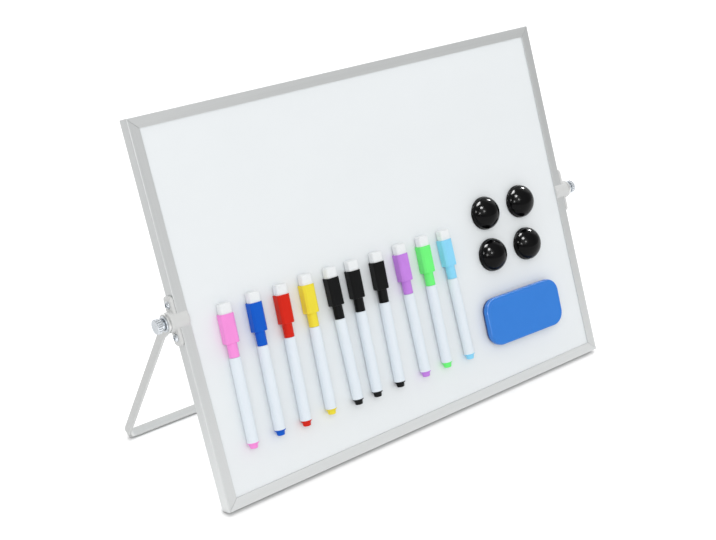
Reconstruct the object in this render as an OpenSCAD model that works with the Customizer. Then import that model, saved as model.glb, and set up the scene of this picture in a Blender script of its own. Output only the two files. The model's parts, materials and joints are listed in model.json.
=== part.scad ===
// Desk whiteboard easel: a two-sided magnetic board in a mitred aluminium frame, turning on two
// thumb screws inside a U-shaped stand of bent flat strip, with ten capped markers, four dome
// magnets and an eraser held on its face.
// Millimetres. +Z is up, the board faces -Y, and X runs along the board's width. The origin is
// on the table, at the middle of the whole object's outline.

/* [Board frame] */
// Width of the framed board
board_w = 400; // [350:1:600]
// Height of the framed board
board_h = 300; // [250:1:450]
// Thickness of the frame, front face to rear face
board_t = 11.5; // [10.5:0.1:15.5]
// Width of a rail seen from the front
rail_w = 8.8; // [8.2:0.1:14]
// Thickness of a rail's outer wall
rail_wall = 1.2; // [0.8:0.1:1.8]
// Width of the hollow that holds the corner keys
key_slot_w = 3.4; // [2.6:0.1:3.8]
// Thickness of the web between that hollow and the panel groove
web_t = 1; // [0.6:0.1:1.2]
// Thickness of the lips that hold the panel, front and rear
lip_t = 1; // [0.7:0.1:1.4]
// Small bevel along the rails' outer edges
rail_bevel = 0.6; // [0.2:0.1:0.7]
// Length of a corner key's arm, from the board's corner
key_arm = 26; // [16:1:60]
// Clearance around a corner key
key_fit = 0.1; // [0.05:0.05:0.3]

/* [Panel] */
// Thickness of each enamelled steel sheet
sheet_t = 0.4; // [0.3:0.05:1]
// Room between the panel's edge and the rail's web
panel_room = 0.2; // [0.1:0.1:1]

/* [Pivot brackets] */
// Length of a bracket's plate along the side rail
plate_l = 38; // [34:1:60]
// Thickness of that plate
plate_t = 2.5; // [1.5:0.1:4]
// Diameter of the barrel that wraps around the rail
boss_d = 16; // [14.5:0.1:17.5]
// How far the barrel stands out from the rail's outer side
boss_reach = 7; // [5.5:0.1:12]
// Bevel around the barrel's two ends
boss_bevel = 1.5; // [0.5:0.1:2]
// Distance between a bracket's two screws
screw_pitch = 24.8; // [23:0.1:31]
// Shank diameter of a bracket screw
screw_d = 2.9; // [2:0.1:3.2]
// Head diameter of a bracket screw
screw_head_d = 6; // [5:0.1:6.6]
// Head height of a bracket screw
screw_head_t = 1.9; // [1:0.1:3]
// How far a bracket screw reaches past its head
screw_l = 6.2; // [5:0.1:6.6]
// Clearance around a bracket screw in its plate
screw_fit = 0.2; // [0.1:0.05:0.3]
// Outer diameter of the brass thread insert
insert_d = 7.5; // [7:0.1:9]
// Length of that insert
insert_l = 5; // [4:0.1:5.3]

/* [Thumb screws] */
// Shank diameter of a thumb screw
shank_d = 5; // [4:0.1:5.4]
// Diameter of the knurled disc
knob_d = 11.6; // [10:0.1:16]
// Thickness of the knurled disc
knob_t = 3.8; // [3:0.1:6]
// Diameter of the collar between disc and washer
collar_d = 8.4; // [7:0.1:9.5]
// Length of that collar
collar_l = 3; // [1.5:0.1:6]
// Number of knurls around the disc
knurl_count = 20; // [12:1:24]
// Diameter of the round cutter that makes each knurl
knurl_d = 0.9; // [0.6:0.1:1.2]
// Bevel around the disc's outer face
knob_bevel = 0.6; // [0.3:0.1:1]
// Running clearance around the shank
shank_fit = 0.05; // [0.03:0.01:0.1]
// Clearance between the faces that turn on each other
face_fit = 0.1; // [0.05:0.01:0.15]
// Diameter of a washer
washer_d = 12.4; // [11:0.1:14]
// Thickness of a washer
washer_t = 1; // [0.8:0.1:2]

/* [Stand] */
// Angle that the board leans back from upright
board_lean = 21.7; // [8:0.1:35]
// Width of the flat strip
strip_w = 8; // [6:0.1:12]
// Thickness of the flat strip
strip_t = 2; // [1.5:0.1:4]
// Outer radius of the strip's two bends
bend_r = 8; // [5:0.5:30]
// Diameter of the round eye at the top of each arm
eye_d = 15; // [13:0.1:20]
// Length over which an arm widens into its eye
eye_taper = 13; // [11:0.5:30]
// Reach of the crossbar beyond the board's edge, which lets the board turn over
turn_room = 12; // [6:0.5:60]

/* [Markers] */
// Diameter of a marker's barrel
barrel_d = 8.8; // [8.2:0.1:12]
// Length of the barrel up to the cap
barrel_l = 66; // [50:1:90]
// Wall of the barrel
barrel_wall = 0.9; // [0.6:0.1:1.1]
// Diameter of the neck that the cap slides over
neck_d = 6.4; // [5.4:0.1:6.8]
// Length of that neck
neck_l = 10; // [6:0.5:10.5]
// Diameter of the writing tip
nib_d = 2.4; // [1.5:0.1:3.5]
// How far the writing tip stands out of the neck
nib_out = 7; // [4:0.5:12]
// Outer diameter of the cap's collar
cap_collar_d = 8; // [7.9:0.1:8.8]
// Length of the cap's collar
cap_collar_l = 11; // [11:0.5:16]
// Clearance of the cap around the neck
cap_fit = 0.08; // [0.05:0.01:0.1]
// Width of the cap's block
block_w = 11; // [10:0.1:15]
// Depth of the cap's block
block_d = 8.8; // [8:0.1:9.2]
// Height of the cap's block
block_l = 22.5; // [20:0.5:35]
// Bevel along the block's upright edges
block_bevel = 1.6; // [0.5:0.1:2]
// Diameter of the small magnet in the block's back
pip_d = 6; // [4:0.1:7]
// Thickness of that magnet
pip_t = 1.6; // [1:0.1:1.9]
// Height of the felt pad above the block
felt_l = 8.2; // [3:0.1:12]
// Depth of the socket that holds the felt
felt_seat = 1.5; // [0.5:0.1:3]
// Wall left around the felt
felt_wall = 0.8; // [0.6:0.1:1.5]
// Length of the end plug below the barrel
plug_l = 4.6; // [3:0.1:10]
// Length of the plug's spigot inside the barrel
spigot_l = 6; // [3:0.5:10]
// Thickness of the plug's rim
plug_rim = 0.9; // [0.5:0.1:1.5]
// Diameter of the plug's lower end
plug_tip_d = 6; // [4:0.1:7]

/* [Magnets] */
// Diameter of a dome magnet
dome_d = 28.5; // [22:0.5:30]
// Height of a dome magnet
dome_h = 13; // [9:0.1:14]
// Height of its straight rim
dome_rim = 3; // [1:0.1:4]
// Diameter of the ferrite disc inside it
ferrite_d = 18; // [10:0.5:19]
// Thickness of the ferrite disc
ferrite_t = 4.5; // [2:0.1:6]

/* [Eraser] */
// Length of the eraser
eraser_l = 85; // [60:1:86]
// Width of the eraser
eraser_w = 41.5; // [36:0.5:60]
// Thickness of its moulded back
eraser_back_t = 5; // [4:0.1:20]
// Thickness of its felt
eraser_felt_t = 3; // [2:0.1:8]
// Radius of its corners
eraser_r = 12; // [4:0.5:16]
// Turn of the eraser as it hangs, clockwise
eraser_turn = 1.4; // [0:0.1:8]

/* [Hidden] */
// Gap that keeps what clings to the board clear of its face
CLING = 0.3;
// Sink of parts that are set flush, and play of parts that are glued in
FLUSH = 0.1;
EPS = 0.01;
FINE = 64;
SMALL = 32;

// Places on the board are in percent of its width from its left edge and of its height from its
// lower edge, so that what clings to it spreads out or draws together with it.
// Markers from left to right: name, place along the board, height of the barrel's lower end, lean
// to the right in degrees, and the cap's colour
MARKERS = [
    ["pink", 7.97, 15, 2.5, "hotpink"],
    ["blue", 14.22, 15.4, 2.9, "mediumblue"],
    ["red", 20.27, 15, 3.2, "red"],
    ["yellow", 26.38, 15.33, 2.8, "gold"],
    ["black_1", 33, 14.93, 1.2, "black"],
    ["black_2", 37.85, 14.87, 2.3, "black"],
    ["black_3", 43.8, 14.93, 2.8, "black"],
    ["purple", 50.65, 14.83, 1.2, "mediumorchid"],
    ["green", 56.58, 14.87, 1.6, "limegreen"],
    ["sky", 62.88, 14.6, 0.4, "deepskyblue"]
];

// Middles of the dome magnets and of the eraser: place along the board, and up it
MAGNETS = [[76.15, 50.98], [86.52, 51.06], [75.67, 38.83], [85.88, 38.52]];
ERASER = [80, 19.98];

FIXED_NODES = [
    "stand_bar", "top_rail", "bottom_rail", "left_rail", "right_rail", "corner_keys",
    "front_sheet", "core_board", "rear_sheet", "left_bracket", "right_bracket", "bracket_screws",
    "left_thumb_screw", "right_thumb_screw", "pivot_washers", "eraser"
];
MARKER_PARTS = ["barrel", "plug", "cap", "felt"];

// Depth of the panel groove's floor from the rail's outer side, and where the panel's edge lies
groove_floor = rail_wall + key_slot_w + web_t;
panel_inset = groove_floor + panel_room;
panel_t = board_t - 2 * lip_t;
pivot_v = board_h / 2;
stand_l = board_h / 2 + turn_room;

// Distances from the board's middle plane, along X, of what stacks up on each pivot
side_x = board_w / 2;
boss_x = side_x + boss_reach;
arm_x = boss_x + face_fit;
washer_x = arm_x + strip_t;
collar_x = washer_x + washer_t + face_fit;
disc_x = collar_x + collar_l;

// The board stands on the lower rear edge of its bottom rail, and the stand on the lower front
// corner of its crossbar, so the pivot's height above the table gives the stand's own lean
foot_z = (board_t - rail_bevel) * sin(board_lean);
pivot_z = foot_z + pivot_v * cos(board_lean) - board_t / 2 * sin(board_lean);
stand_reach = norm([stand_l, strip_w / 2]);
stand_lean = atan(strip_w / 2 / stand_l) + acos(pivot_z / stand_reach);

// Shift in Y that puts the origin in the middle of the outline
front_y = rail_bevel * sin(board_lean);
pivot_y = pivot_v * sin(board_lean) + board_t / 2 * cos(board_lean);
stand_back_y = pivot_y + stand_l * sin(stand_lean) + strip_w / 2 * cos(stand_lean);
top_back_y = board_h * sin(board_lean) + (board_t - rail_bevel) * cos(board_lean);
shift_y = -(front_y + max(stand_back_y, top_back_y)) / 2;

// Depth of a marker's axis: its barrel lies just clear of the writing face
marker_y = lip_t - CLING - barrel_d / 2;
neck_bore_d = neck_d + 2 * cap_fit;
barrel_bore_d = barrel_d - 2 * barrel_wall;

// A place given in percent: its distance from the board's middle, and its height on the board
function across(percent) = board_w * (percent / 100 - 0.5);
function up_face(percent) = board_h * percent / 100;

// Puts children, drawn with X along the board, Y into it and Z up its face, on the leaning board
module on_board() {
    translate([0, shift_y, foot_z]) rotate([-board_lean, 0, 0]) children();
}

// Places children at the pivot axis of one side, with their +X pointing away from the board
module at_pivot(side) {
    on_board() translate([0, board_t / 2, pivot_v]) mirror([side < 0 ? 1 : 0, 0, 0]) children();
}

// Puts children, drawn with X across, Z up the arms from the pivot, on the leaning stand
module on_stand() {
    translate([0, shift_y + pivot_y, pivot_z]) rotate([stand_lean, 0, 0]) children();
}

// A cylinder along +X that starts at x
module rod_x(x, d, l) {
    translate([x, 0, 0]) rotate([0, 90, 0]) cylinder(d = d, h = l, $fn = FINE);
}

// A rail's section: X runs in from the outer side, Y from the front face to the rear face
module rail_section() {
    b = rail_bevel;
    difference() {
        polygon([
            [b, 0], [rail_w, 0], [rail_w, board_t], [b, board_t], [0, board_t - b], [0, b]
        ]);
        translate([rail_wall, lip_t]) square([key_slot_w, panel_t]);
        translate([groove_floor, lip_t]) square([rail_w, panel_t]);
    }
}

// A rail of a given length lying along +X from the origin, its outer side down, its ends mitred
module rail(l) {
    intersection() {
        rotate([90, 0, 90]) linear_extrude(l) mirror([1, 0]) rotate(90) rail_section();
        rotate([90, 0, 0]) translate([0, 0, -board_t - 1]) linear_extrude(board_t + 2)
            polygon([[0, 0], [l, 0], [l - rail_w, rail_w], [rail_w, rail_w]]);
    }
}

module bottom_rail() {
    color("silver") on_board() translate([-side_x, 0, 0]) rail(board_w);
}

module top_rail() {
    color("silver") on_board() translate([-side_x, 0, board_h]) mirror([0, 0, 1]) rail(board_w);
}

// The left rail, with the pilot holes of its bracket's two screws
module side_rail() {
    difference() {
        translate([-side_x, 0, 0]) mirror([1, 0, 0]) rotate([0, -90, 0]) rail(board_h);
        for (k = [-1, 1]) translate([0, board_t / 2, pivot_v + k * screw_pitch / 2])
            rod_x(-side_x - 1, screw_d, rail_wall + 1.5);
    }
}

module left_rail() {
    color("silver") on_board() side_rail();
}

module right_rail() {
    color("silver") on_board() mirror([1, 0, 0]) side_rail();
}

// One L-shaped key, in the lower left corner
module corner_key() {
    w = key_slot_w - 2 * key_fit;
    d = panel_t - 2 * key_fit;
    translate([-side_x + rail_wall + key_fit, lip_t + key_fit, rail_wall + key_fit]) {
        cube([key_arm, d, w]);
        cube([w, d, key_arm]);
    }
}

module corner_keys() {
    color("dimgray") on_board() translate([0, 0, board_h / 2])
        for (i = [0, 1]) for (k = [0, 1]) mirror([i, 0, 0]) mirror([0, 0, k])
            translate([0, 0, -board_h / 2]) corner_key();
}

// One layer of the panel, from a depth y, t thick
module panel_layer(y, t) {
    on_board() translate([-side_x + panel_inset, y, panel_inset])
        cube([board_w - 2 * panel_inset, t, board_h - 2 * panel_inset]);
}

module front_sheet() {
    color("white") panel_layer(lip_t, sheet_t);
}

module core_board() {
    color("burlywood") panel_layer(lip_t + sheet_t, panel_t - 2 * sheet_t);
}

module rear_sheet() {
    color("white") panel_layer(board_t - lip_t - sheet_t, sheet_t);
}

// The right-hand bracket: a plate on the rail's side and a barrel that wraps over both lips
module bracket() {
    inner_x = side_x - rail_w;
    barrel_len = boss_x - inner_x;
    difference() {
        union() {
            translate([side_x, -board_t / 2, -plate_l / 2]) cube([plate_t, board_t, plate_l]);
            translate([inner_x, 0, 0]) rotate([0, 90, 0]) rotate_extrude($fn = FINE) polygon([
                [0, 0], [boss_d / 2 - boss_bevel, 0], [boss_d / 2, boss_bevel],
                [boss_d / 2, barrel_len - boss_bevel], [boss_d / 2 - boss_bevel, barrel_len],
                [0, barrel_len]
            ]);
        }
        translate([inner_x - 1, -board_t / 2, -boss_d]) cube([rail_w + 1, board_t, 2 * boss_d]);
        rod_x(boss_x - insert_l, insert_d, insert_l + 1);
        for (k = [-1, 1]) translate([0, 0, k * screw_pitch / 2])
            rod_x(side_x - 1, screw_d + 2 * screw_fit, plate_t + 2);
    }
}

// The brass thread insert, seated in the barrel's outer end
module thread_insert() {
    difference() {
        rod_x(boss_x - insert_l, insert_d, insert_l - FLUSH);
        rod_x(boss_x - insert_l - 1, shank_d + 2 * shank_fit, insert_l + 2);
    }
}

module left_bracket() {
    color("whitesmoke") at_pivot(-1) bracket();
    color("gold") at_pivot(-1) thread_insert();
}

module right_bracket() {
    color("whitesmoke") at_pivot(1) bracket();
    color("gold") at_pivot(1) thread_insert();
}

// A cross-recess screw that holds the bracket to the rail's outer wall
module bracket_screw() {
    head_x = side_x + plate_t;
    head_r = screw_head_d / 2;
    slot_w = screw_head_d / 6;
    slot_l = screw_head_d * 0.6;
    slot_t = screw_head_t * 0.6;
    rod_x(head_x - screw_l, screw_d, screw_l + EPS);
    difference() {
        translate([head_x, 0, 0]) rotate([0, 90, 0]) rotate_extrude($fn = FINE) polygon([
            [0, 0], [head_r, 0], [head_r, screw_head_t * 0.4], [head_r * 0.6, screw_head_t],
            [0, screw_head_t]
        ]);
        translate([head_x + screw_head_t - slot_t, -slot_w / 2, -slot_l / 2])
            cube([screw_head_t, slot_w, slot_l]);
        translate([head_x + screw_head_t - slot_t, -slot_l / 2, -slot_w / 2])
            cube([screw_head_t, slot_l, slot_w]);
    }
}

module bracket_screws() {
    color("gainsboro") for (side = [-1, 1]) for (k = [-1, 1])
        at_pivot(side) translate([0, 0, k * screw_pitch / 2]) bracket_screw();
}

// A thumb screw: knurled disc, collar and shank turned in one piece
module thumb_screw() {
    shank_end = boss_x - insert_l + FLUSH;
    knob_r = knob_d / 2;
    difference() {
        union() {
            rod_x(shank_end, shank_d, collar_x - shank_end + EPS);
            rod_x(collar_x, collar_d, collar_l + EPS);
            translate([disc_x, 0, 0]) rotate([0, 90, 0]) rotate_extrude($fn = FINE) polygon([
                [0, 0], [knob_r, 0], [knob_r, knob_t - knob_bevel],
                [knob_r - knob_bevel, knob_t], [0, knob_t]
            ]);
        }
        for (i = [0:knurl_count - 1]) rotate([i * 360 / knurl_count, 0, 0])
            translate([0, 0, knob_r]) rod_x(disc_x - 1, knurl_d, knob_t + 2);
    }
}

module left_thumb_screw() {
    color("lightsteelblue") at_pivot(-1) thumb_screw();
}

module right_thumb_screw() {
    color("lightsteelblue") at_pivot(1) thumb_screw();
}

module pivot_washers() {
    color("lightgray") for (side = [-1, 1]) at_pivot(side) difference() {
        rod_x(washer_x, washer_d, washer_t);
        rod_x(washer_x - 1, shank_d + 4 * shank_fit, washer_t + 2);
    }
}

// One arm with its eye and the bend at its foot, on the right-hand side
module stand_arm() {
    bend_x = washer_x - bend_r;
    difference() {
        union() {
            translate([arm_x, -strip_w / 2, bend_r - stand_l])
                cube([strip_t, strip_w, stand_l - bend_r]);
            rod_x(arm_x, eye_d, strip_t);
            translate([arm_x, 0, 0]) rotate([90, 0, 90]) linear_extrude(strip_t) polygon([
                [-strip_w / 2, -eye_taper], [strip_w / 2, -eye_taper],
                [eye_d * 0.44, -eye_d * 0.1], [-eye_d * 0.44, -eye_d * 0.1]
            ]);
        }
        rod_x(arm_x - 1, shank_d + 2 * shank_fit, strip_t + 2);
    }
    translate([bend_x, 0, bend_r - stand_l]) rotate([90, 0, 0]) rotate([0, 0, -90])
        rotate_extrude(angle = 90, $fn = FINE)
            translate([bend_r - strip_t, -strip_w / 2]) square([strip_t, strip_w]);
}

module stand_bar() {
    bend_x = washer_x - bend_r;
    color("silver") on_stand() {
        for (i = [0, 1]) mirror([i, 0, 0]) stand_arm();
        translate([-bend_x, -strip_w / 2, -stand_l]) cube([2 * bend_x, strip_w, strip_t]);
    }
}

// Children drawn about a marker's axis, with Z up from the barrel's lower end
module at_marker(m) {
    on_board() translate([across(m[1]), marker_y, up_face(m[2])]) rotate([0, m[3], 0]) children();
}

// Barrel with its neck, and inside it the ink reservoir with the writing tip
module marker_barrel(m) {
    floor_z = barrel_l - 2;
    top_z = barrel_l + neck_l;
    nib_z = top_z + nib_out - nib_d / 2;
    color("white") at_marker(m) difference() {
        union() {
            cylinder(d = barrel_d, h = barrel_l, $fn = FINE);
            cylinder(d = neck_d, h = top_z, $fn = FINE);
        }
        translate([0, 0, -1]) cylinder(d = barrel_bore_d, h = floor_z + 1, $fn = FINE);
        cylinder(d = nib_d + 2 * FLUSH, h = top_z + 1, $fn = SMALL);
    }
    color("ivory") at_marker(m) {
        translate([0, 0, spigot_l + 1])
            cylinder(d = barrel_bore_d - 4 * FLUSH, h = floor_z - FLUSH - spigot_l - 1, $fn = FINE);
        translate([0, 0, floor_z - 1]) cylinder(d = nib_d, h = nib_z - floor_z + 1, $fn = SMALL);
        translate([0, 0, nib_z]) sphere(d = nib_d, $fn = SMALL);
    }
}

// Plug that closes the barrel's lower end
module marker_plug(m) {
    color(m[4]) at_marker(m) {
        translate([0, 0, -EPS]) cylinder(d = barrel_bore_d - FLUSH, h = spigot_l, $fn = FINE);
        translate([0, 0, -plug_rim]) cylinder(d = barrel_d, h = plug_rim, $fn = FINE);
        translate([0, 0, -plug_l]) cylinder(
            d1 = plug_tip_d, d2 = barrel_bore_d + FLUSH, h = plug_l - plug_rim + EPS, $fn = FINE
        );
    }
}

// Cap: a collar over the neck, a bevelled block with a socket for the felt, and the small
// magnet in its back that holds the marker to the board
module marker_cap(m) {
    b = block_bevel;
    back_y = barrel_d / 2;
    block_z = barrel_l + cap_collar_l;
    pip_z = block_z + block_l - pip_d;
    color(m[4]) at_marker(m) difference() {
        union() {
            translate([0, 0, barrel_l + FLUSH])
                cylinder(d = cap_collar_d, h = cap_collar_l, $fn = FINE);
            translate([0, back_y - block_d, block_z]) linear_extrude(block_l) polygon([
                [b - block_w / 2, 0], [block_w / 2 - b, 0], [block_w / 2, b],
                [block_w / 2, block_d - b / 2], [block_w / 2 - b / 2, block_d],
                [b / 2 - block_w / 2, block_d], [-block_w / 2, block_d - b / 2], [-block_w / 2, b]
            ]);
        }
        cylinder(d = neck_bore_d, h = barrel_l + neck_l + FLUSH, $fn = FINE);
        cylinder(d = nib_d + 1, h = barrel_l + neck_l + nib_out + 1, $fn = SMALL);
        translate([0, back_y - block_d / 2, block_z + block_l - felt_seat])
            linear_extrude(felt_seat + 1) felt_outline(0);
        translate([0, back_y - pip_t - FLUSH, pip_z]) rotate([-90, 0, 0])
            cylinder(d = pip_d, h = pip_t + FLUSH + 1, $fn = FINE);
    }
    color("gray") at_marker(m) translate([0, back_y - pip_t, pip_z]) rotate([-90, 0, 0])
        cylinder(d = pip_d - FLUSH, h = pip_t, $fn = FINE);
}

// Outline of the felt pad, shrunk all round by a play
module felt_outline(play) {
    w = block_w - 2 * (felt_wall + play);
    d = block_d - 2 * (felt_wall + play);
    c = block_bevel;
    polygon([
        [c - w / 2, -d / 2], [w / 2 - c, -d / 2], [w / 2, c - d / 2], [w / 2, d / 2 - c],
        [w / 2 - c, d / 2], [c - w / 2, d / 2], [-w / 2, d / 2 - c], [-w / 2, c - d / 2]
    ]);
}

module marker_felt(m) {
    felt_z = barrel_l + cap_collar_l + block_l - felt_seat + FLUSH;
    color("white") at_marker(m) translate([0, (barrel_d - block_d) / 2, felt_z])
        linear_extrude(felt_l + felt_seat - FLUSH) felt_outline(FLUSH);
}

// Children drawn with Z standing out from the writing face, at a place on it
module on_face(place) {
    on_board() translate([across(place[0]), lip_t - CLING, up_face(place[1])])
        rotate([90, 0, 0]) children();
}

// A glossy dome over a ferrite disc
module dome_magnet(i) {
    r = dome_d / 2;
    h = dome_h - dome_rim;
    sphere_r = (r * r + h * h) / (2 * h);
    color("black") on_face(MAGNETS[i]) difference() {
        intersection() {
            cylinder(r = r, h = dome_h, $fn = FINE);
            translate([0, 0, dome_h - sphere_r]) sphere(r = sphere_r, $fn = 96);
        }
        translate([0, 0, -1]) cylinder(d = ferrite_d, h = ferrite_t + 2 * FLUSH + 1, $fn = FINE);
    }
    color("dimgray") on_face(MAGNETS[i]) translate([0, 0, FLUSH])
        cylinder(d = ferrite_d - 2 * FLUSH, h = ferrite_t, $fn = FINE);
}

// One layer of the eraser, inset from its outline, from height z, t thick
module eraser_layer(inset, z, t) {
    r = eraser_r - inset;
    on_face(ERASER) rotate(-eraser_turn) translate([0, 0, z]) hull()
        for (i = [-1, 1]) for (k = [-1, 1])
            translate([i * (eraser_l / 2 - eraser_r), k * (eraser_w / 2 - eraser_r), 0])
                cylinder(r = r, h = t, $fn = SMALL);
}

// Moulded back over a felt that wipes the board
module eraser() {
    color("royalblue") eraser_layer(0, eraser_felt_t + FLUSH, eraser_back_t);
    color("navy") eraser_layer(1, 0, eraser_felt_t);
}

stand_bar();
top_rail();
bottom_rail();
left_rail();
right_rail();
corner_keys();
front_sheet();
core_board();
rear_sheet();
left_bracket();
right_bracket();
bracket_screws();
left_thumb_screw();
right_thumb_screw();
pivot_washers();
eraser();
for (i = [1:len(MAGNETS)]) dome_magnet(i - 1);
for (m = MARKERS) {
    marker_barrel(m);
    marker_plug(m);
    marker_cap(m);
    marker_felt(m);
}
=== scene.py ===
import json
import math

import bmesh
import bpy
from mathutils import Matrix, Quaternion, Vector
from mathutils.geometry import tessellate_polygon


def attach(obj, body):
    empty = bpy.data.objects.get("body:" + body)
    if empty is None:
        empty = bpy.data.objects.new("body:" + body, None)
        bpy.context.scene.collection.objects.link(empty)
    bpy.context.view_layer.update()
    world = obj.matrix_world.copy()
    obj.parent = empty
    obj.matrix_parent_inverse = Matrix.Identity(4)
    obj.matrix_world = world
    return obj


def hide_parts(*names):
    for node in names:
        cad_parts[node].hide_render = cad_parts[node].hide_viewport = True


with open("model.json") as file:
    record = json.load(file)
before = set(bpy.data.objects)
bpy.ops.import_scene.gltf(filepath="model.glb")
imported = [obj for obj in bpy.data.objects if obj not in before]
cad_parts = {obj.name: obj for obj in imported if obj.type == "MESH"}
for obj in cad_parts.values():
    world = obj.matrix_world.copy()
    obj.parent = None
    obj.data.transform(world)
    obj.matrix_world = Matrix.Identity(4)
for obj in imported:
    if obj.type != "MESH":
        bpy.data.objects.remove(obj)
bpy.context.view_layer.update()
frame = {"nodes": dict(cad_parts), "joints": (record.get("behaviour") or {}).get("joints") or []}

# Camera
# A long lens stands in front of the easel's left end and looks down on it, as a catalogue
# photographer would set it. It aims at a point on the writing face.
MM = 0.001
aim = Vector((-36.6, -21.1, 136.1)) * MM
distance = 1018.3 * MM
azimuth, elevation, roll = (math.radians(angle) for angle in (38.02, 25.83, -0.276))
forward = Vector((
    math.sin(azimuth) * math.cos(elevation),
    math.cos(azimuth) * math.cos(elevation),
    -math.sin(elevation),
))
camera = bpy.data.objects.new("camera", bpy.data.cameras.new("camera"))
camera.data.sensor_width = 36
camera.data.lens = 64.04
camera.location = aim - forward * distance
camera.rotation_mode = "QUATERNION"
camera.rotation_quaternion = forward.to_track_quat("-Z", "Y") @ Quaternion((0, 0, 1), roll)
bpy.context.scene.collection.objects.link(camera)
bpy.context.scene.camera = camera

# Frame rails
# Four lengths of drawn aluminium, mitred at 45 degrees and satin anodised. Each is a hollow
# section: a groove holds the panel's edge, and a chamber behind it takes the corner keys.
joints = {joint["name"]: joint for joint in frame["joints"]}
pivot = Vector(joints["board_tilt"]["pos_m"])
across = Vector((1, 0, 0))
outward = Vector(joints["eraser_lift"]["axis"])


def placing(origin, x_axis, y_axis, z_axis):
    """Matrix that puts a piece, drawn about its own axes, where it belongs."""
    turn = Matrix((x_axis, y_axis, z_axis)).transposed()
    return Matrix.Translation(origin) @ turn.to_4x4()


# On the board X runs to its right, Y into it and Z up its face, from the middle of the pivots
board = placing(pivot, across, -outward, outward.cross(across))


def mm(*measures):
    """Measures in millimetres, as metres."""
    return [measure * MM for measure in measures]


def span(node, place):
    """Lowest and highest corner of a CAD node, measured along the axes of a placing."""
    back = place.inverted()
    points = [back @ vertex.co for vertex in frame["nodes"][node].data.vertices]
    return tuple(Vector([pick(p[i] for p in points) for i in range(3)]) for pick in (min, max))


def rounded(corners, radii, steps=4, closed=True):
    """A flat outline with its corners turned into arcs. radii is one radius or one per corner."""
    corners = [Vector(corner) for corner in corners]
    if isinstance(radii, (int, float)):
        radii = [radii] * len(corners)
    outline = []
    for i, (corner, radius) in enumerate(zip(corners, radii)):
        if not radius or (not closed and i in (0, len(corners) - 1)):
            outline.append(corner)
            continue
        to_last = (corners[i - 1] - corner).normalized()
        to_next = (corners[(i + 1) % len(corners)] - corner).normalized()
        half = to_last.angle(to_next) / 2
        middle = corner + (to_last + to_next).normalized() * (radius / math.sin(half))
        start = corner + to_last * (radius / math.tan(half)) - middle
        end = corner + to_next * (radius / math.tan(half)) - middle
        turn = -start.angle_signed(end)
        for k in range(steps + 1):
            outline.append(middle + Matrix.Rotation(turn * k / steps, 2) @ start)
    return outline


def drawn_in(outline, depth):
    """An anticlockwise outline moved inwards by a depth, with as many points."""
    moved = []
    for i, point in enumerate(outline):
        before = (point - outline[i - 1]).normalized()
        after = (outline[(i + 1) % len(outline)] - point).normalized()
        inwards = Vector((-before.y - after.y, before.x + after.x)).normalized()
        share = max(0.3, inwards.dot(Vector((-before.y, before.x))))
        moved.append(point + inwards * (depth / share))
    return moved


def smoothed(mesh, crease=35):
    """Shades a mesh smooth, but for edges sharper than the crease, in degrees."""
    mesh.shade_smooth()
    mesh.set_sharp_from_angle(angle=math.radians(crease))


class Shell:
    """A closed mesh in the making: rings of points, walls between them, lids across them."""

    def __init__(self):
        self.mesh = bmesh.new()

    def ring(self, points):
        """New corners at some points, for a wall or a lid to use."""
        return [self.mesh.verts.new(point) for point in points]

    def wall(self, *rings):
        """Walls between rings. A ring of one point is a tip."""
        for near, far in zip(rings, rings[1:]):
            count = max(len(near), len(far))
            for i in range(count):
                j = (i + 1) % count
                pairs = ((near, i), (near, j), (far, j), (far, i))
                corners = [ring[k % len(ring)] for ring, k in pairs]
                self.mesh.faces.new(list(dict.fromkeys(corners)))

    def sides(self, outline, levels):
        """Walls round an outline that is drawn in by a depth at each height. Gives the rings."""
        rings = [self.ring((*p, z) for p in drawn_in(outline, depth)) for depth, z in levels]
        self.wall(*rings)
        return rings

    def lid(self, ring, *holes):
        """A flat face across a ring, cut up into triangles where it has holes."""
        if not holes:
            self.mesh.faces.new(ring)
            return
        corners = [vertex for loop in (ring, *holes) for vertex in loop]
        for triangle in tessellate_polygon([[v.co for v in loop] for loop in (ring, *holes)]):
            self.mesh.faces.new([corners[i] for i in triangle])

    def made(self, name, place=Matrix(), crease=35):
        """The finished object, with faces outwards and edges sharper than the crease kept sharp."""
        bmesh.ops.remove_doubles(self.mesh, verts=self.mesh.verts, dist=1e-7)
        bmesh.ops.recalc_face_normals(self.mesh, faces=self.mesh.faces)
        mesh = bpy.data.meshes.new(name)
        self.mesh.to_mesh(mesh)
        self.mesh.free()
        piece = bpy.data.objects.new(name, mesh)
        bpy.context.scene.collection.objects.link(piece)
        smoothed(mesh, crease)
        mesh.transform(place)
        return piece


class Wire:
    """A value on its way between nodes. Sums, products and the like of wires add Math nodes."""

    def __init__(self, graph, socket):
        self.graph, self.socket = graph, socket

    def _math(self, operation, *values):
        return self.graph.node("ShaderNodeMath", dict(enumerate(values)), operation=operation)

    def axis(self, name):
        """One measure of a vector: X, Y or Z."""
        return self.graph.node("ShaderNodeSeparateXYZ", {0: self}, name)

    def __add__(self, other):
        return self._math("ADD", self, other)

    def __sub__(self, other):
        return self._math("SUBTRACT", self, other)

    def __rsub__(self, other):
        return self._math("SUBTRACT", other, self)

    def __mul__(self, other):
        return self._math("MULTIPLY", self, other)

    def __lt__(self, other):
        return self._math("LESS_THAN", self, other)

    def __abs__(self):
        return self._math("ABSOLUTE", self)

    __radd__, __rmul__ = __add__, __mul__


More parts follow.
